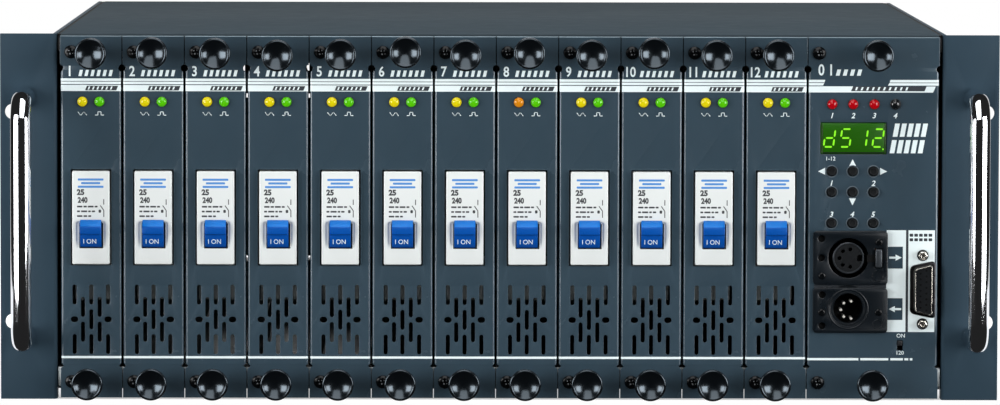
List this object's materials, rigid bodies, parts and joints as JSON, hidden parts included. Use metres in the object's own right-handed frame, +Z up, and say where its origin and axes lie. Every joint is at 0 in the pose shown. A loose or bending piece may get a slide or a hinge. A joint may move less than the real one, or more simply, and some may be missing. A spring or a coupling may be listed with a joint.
{
  "type": "dimmer pack",
  "caption": "Rack-mounted stage dimmer pack: plug-in dimmer modules with circuit breakers and a control module in a sheet-metal chassis with chrome handles.",
  "frame": {"origin": "on the ground plane under the middle of the whole pack, level with the foot of the rack ears", "axes": "+X to the right seen from the front, +Y from the front to the rear, +Z up; the front panels lie at y = -0.1845"},
  "size_m": [0.4826, 0.463, 0.177],
  "materials": {
    "panel_paint": "satin blue-grey powder coat",
    "cover_paint": "satin grey powder coat",
    "zinc_steel": "zinc-plated sheet",
    "chrome": "polished",
    "circuit_board": "green solder mask",
    "black_plastic": "satin",
    "white_plastic": "satin",
    "blue_plastic": "satin",
    "display_window": "glossy green window",
    "connector_black": "black, slightly glossy",
    "plated_steel": "nickel-plated"
  },
  "bodies": {
    "chassis": {"chassis_tray": "zinc_steel", "top_cover": "cover_paint", "left_side_ear": "panel_paint", "right_side_ear": "panel_paint", "left_handle": "chrome", "right_handle": "chrome", "backplane": "circuit_board"},
    "fan": {"fan_rotor": "black_plastic"},
    "module_01": {"dimmer_module_01": "panel_paint", "breaker_01": "white_plastic"},
    "toggle_01": {"breaker_toggle_01": "blue_plastic"},
    "module_02": {"dimmer_module_02": "panel_paint", "breaker_02": "white_plastic"},
    "toggle_02": {"breaker_toggle_02": "blue_plastic"},
    "module_03": {"dimmer_module_03": "panel_paint", "breaker_03": "white_plastic"},
    "toggle_03": {"breaker_toggle_03": "blue_plastic"},
    "module_04": {"dimmer_module_04": "panel_paint", "breaker_04": "white_plastic"},
    "toggle_04": {"breaker_toggle_04": "blue_plastic"},
    "module_05": {"dimmer_module_05": "panel_paint", "breaker_05": "white_plastic"},
    "toggle_05": {"breaker_toggle_05": "blue_plastic"},
    "module_06": {"dimmer_module_06": "panel_paint", "breaker_06": "white_plastic"},
    "toggle_06": {"breaker_toggle_06": "blue_plastic"},
    "module_07": {"dimmer_module_07": "panel_paint", "breaker_07": "white_plastic"},
    "toggle_07": {"breaker_toggle_07": "blue_plastic"},
    "module_08": {"dimmer_module_08": "panel_paint", "breaker_08": "white_plastic"},
    "toggle_08": {"breaker_toggle_08": "blue_plastic"},
    "module_09": {"dimmer_module_09": "panel_paint", "breaker_09": "white_plastic"},
    "toggle_09": {"breaker_toggle_09": "blue_plastic"},
    "module_10": {"dimmer_module_10": "panel_paint", "breaker_10": "white_plastic"},
    "toggle_10": {"breaker_toggle_10": "blue_plastic"},
    "module_11": {"dimmer_module_11": "panel_paint", "breaker_11": "white_plastic"},
    "toggle_11": {"breaker_toggle_11": "blue_plastic"},
    "module_12": {"dimmer_module_12": "panel_paint", "breaker_12": "white_plastic"},
    "toggle_12": {"breaker_toggle_12": "blue_plastic"},
    "control": {"control_module": "panel_paint", "display_window": "display_window", "xlr_out": "connector_black", "xlr_in": "connector_black", "analogue_socket": "plated_steel"},
    "xlr_latch": {"xlr_latch": "connector_black"},
    "terminate_switch": {"terminate_switch": "black_plastic"},
    "button_left": {"button_left": "black_plastic"},
    "button_up": {"button_up": "black_plastic"},
    "button_right": {"button_right": "black_plastic"},
    "button_cancel": {"button_cancel": "black_plastic"},
    "button_down": {"button_down": "black_plastic"},
    "button_select": {"button_select": "black_plastic"},
    "button_set": {"button_set": "black_plastic"},
    "button_function": {"button_function": "black_plastic"},
    "button_mode": {"button_mode": "black_plastic"}
  },
  "joints": [
    {"name": "fan_spin", "type": "hinge", "parent": "chassis", "child": "fan", "pos_m": [-0.11795, 0.214, 0.091], "axis": [0, 1, 0], "continuous": true},
    {"name": "module_01_slide", "type": "slide", "parent": "chassis", "child": "module_01", "axis": [0, -1, 0], "range_m": [0, 0.3]},
    {"name": "toggle_01_tilt", "type": "hinge", "parent": "module_01", "child": "toggle_01", "pos_m": [-0.1975, -0.1825, 0.08005], "axis": [1, 0, 0], "range_deg": [0, 50]},
    {"name": "module_02_slide", "type": "slide", "parent": "chassis", "child": "module_02", "axis": [0, -1, 0], "range_m": [0, 0.3]},
    {"name": "toggle_02_tilt", "type": "hinge", "parent": "module_02", "child": "toggle_02", "pos_m": [-0.1674, -0.1825, 0.08005], "axis": [1, 0, 0], "range_deg": [0, 50]},
    {"name": "module_03_slide", "type": "slide", "parent": "chassis", "child": "module_03", "axis": [0, -1, 0], "range_m": [0, 0.3]},
    {"name": "toggle_03_tilt", "type": "hinge", "parent": "module_03", "child": "toggle_03", "pos_m": [-0.1373, -0.1825, 0.08005], "axis": [1, 0, 0], "range_deg": [0, 50]},
    {"name": "module_04_slide", "type": "slide", "parent": "chassis", "child": "module_04", "axis": [0, -1, 0], "range_m": [0, 0.3]},
    {"name": "toggle_04_tilt", "type": "hinge", "parent": "module_04", "child": "toggle_04", "pos_m": [-0.1072, -0.1825, 0.08005], "axis": [1, 0, 0], "range_deg": [0, 50]},
    {"name": "module_05_slide", "type": "slide", "parent": "chassis", "child": "module_05", "axis": [0, -1, 0], "range_m": [0, 0.3]},
    {"name": "toggle_05_tilt", "type": "hinge", "parent": "module_05", "child": "toggle_05", "pos_m": [-0.0771, -0.1825, 0.08005], "axis": [1, 0, 0], "range_deg": [0, 50]},
    {"name": "module_06_slide", "type": "slide", "parent": "chassis", "child": "module_06", "axis": [0, -1, 0], "range_m": [0, 0.3]},
    {"name": "toggle_06_tilt", "type": "hinge", "parent": "module_06", "child": "toggle_06", "pos_m": [-0.047, -0.1825, 0.08005], "axis": [1, 0, 0], "range_deg": [0, 50]},
    {"name": "module_07_slide", "type": "slide", "parent": "chassis", "child": "module_07", "axis": [0, -1, 0], "range_m": [0, 0.3]},
    {"name": "toggle_07_tilt", "type": "hinge", "parent": "module_07", "child": "toggle_07", "pos_m": [-0.0169, -0.1825, 0.08005], "axis": [1, 0, 0], "range_deg": [0, 50]},
    {"name": "module_08_slide", "type": "slide", "parent": "chassis", "child": "module_08", "axis": [0, -1, 0], "range_m": [0, 0.3]},
    {"name": "toggle_08_tilt", "type": "hinge", "parent": "module_08", "child": "toggle_08", "pos_m": [0.0132, -0.1825, 0.08005], "axis": [1, 0, 0], "range_deg": [0, 50]},
    {"name": "module_09_slide", "type": "slide", "parent": "chassis", "child": "module_09", "axis": [0, -1, 0], "range_m": [0, 0.3]},
    {"name": "toggle_09_tilt", "type": "hinge", "parent": "module_09", "child": "toggle_09", "pos_m": [0.0433, -0.1825, 0.08005], "axis": [1, 0, 0], "range_deg": [0, 50]},
    {"name": "module_10_slide", "type": "slide", "parent": "chassis", "child": "module_10", "axis": [0, -1, 0], "range_m": [0, 0.3]},
    {"name": "toggle_10_tilt", "type": "hinge", "parent": "module_10", "child": "toggle_10", "pos_m": [0.0734, -0.1825, 0.08005], "axis": [1, 0, 0], "range_deg": [0, 50]},
    {"name": "module_11_slide", "type": "slide", "parent": "chassis", "child": "module_11", "axis": [0, -1, 0], "range_m": [0, 0.3]},
    {"name": "toggle_11_tilt", "type": "hinge", "parent": "module_11", "child": "toggle_11", "pos_m": [0.1035, -0.1825, 0.08005], "axis": [1, 0, 0], "range_deg": [0, 50]},
    {"name": "module_12_slide", "type": "slide", "parent": "chassis", "child": "module_12", "axis": [0, -1, 0], "range_m": [0, 0.3]},
    {"name": "toggle_12_tilt", "type": "hinge", "parent": "module_12", "child": "toggle_12", "pos_m": [0.1336, -0.1825, 0.08005], "axis": [1, 0, 0], "range_deg": [0, 50]},
    {"name": "control_slide", "type": "slide", "parent": "chassis", "child": "control", "axis": [0, -1, 0], "range_m": [0, 0.3]},
    {"name": "xlr_latch_press", "type": "slide", "parent": "control", "child": "xlr_latch", "axis": [0, 1, 0], "range_m": [0, 0.0015], "stiffness_N_per_m": 800},
    {"name": "terminate_slide", "type": "slide", "parent": "control", "child": "terminate_switch", "axis": [0, 0, 1], "range_m": [-0.002, 0]},
    {"name": "button_left_press", "type": "slide", "parent": "control", "child": "button_left", "axis": [0, 1, 0], "range_m": [0, 0.0008], "stiffness_N_per_m": 500},
    {"name": "button_up_press", "type": "slide", "parent": "control", "child": "button_up", "axis": [0, 1, 0], "range_m": [0, 0.0008], "stiffness_N_per_m": 500},
    {"name": "button_right_press", "type": "slide", "parent": "control", "child": "button_right", "axis": [0, 1, 0], "range_m": [0, 0.0008], "stiffness_N_per_m": 500},
    {"name": "button_cancel_press", "type": "slide", "parent": "control", "child": "button_cancel", "axis": [0, 1, 0], "range_m": [0, 0.0008], "stiffness_N_per_m": 500},
    {"name": "button_down_press", "type": "slide", "parent": "control", "child": "button_down", "axis": [0, 1, 0], "range_m": [0, 0.0008], "stiffness_N_per_m": 500},
    {"name": "button_select_press", "type": "slide", "parent": "control", "child": "button_select", "axis": [0, 1, 0], "range_m": [0, 0.0008], "stiffness_N_per_m": 500},
    {"name": "button_set_press", "type": "slide", "parent": "control", "child": "button_set", "axis": [0, 1, 0], "range_m": [0, 0.0008], "stiffness_N_per_m": 500},
    {"name": "button_function_press", "type": "slide", "parent": "control", "child": "button_function", "axis": [0, 1, 0], "range_m": [0, 0.0008], "stiffness_N_per_m": 500},
    {"name": "button_mode_press", "type": "slide", "parent": "control", "child": "button_mode", "axis": [0, 1, 0], "range_m": [0, 0.0008], "stiffness_N_per_m": 500}
  ]
}
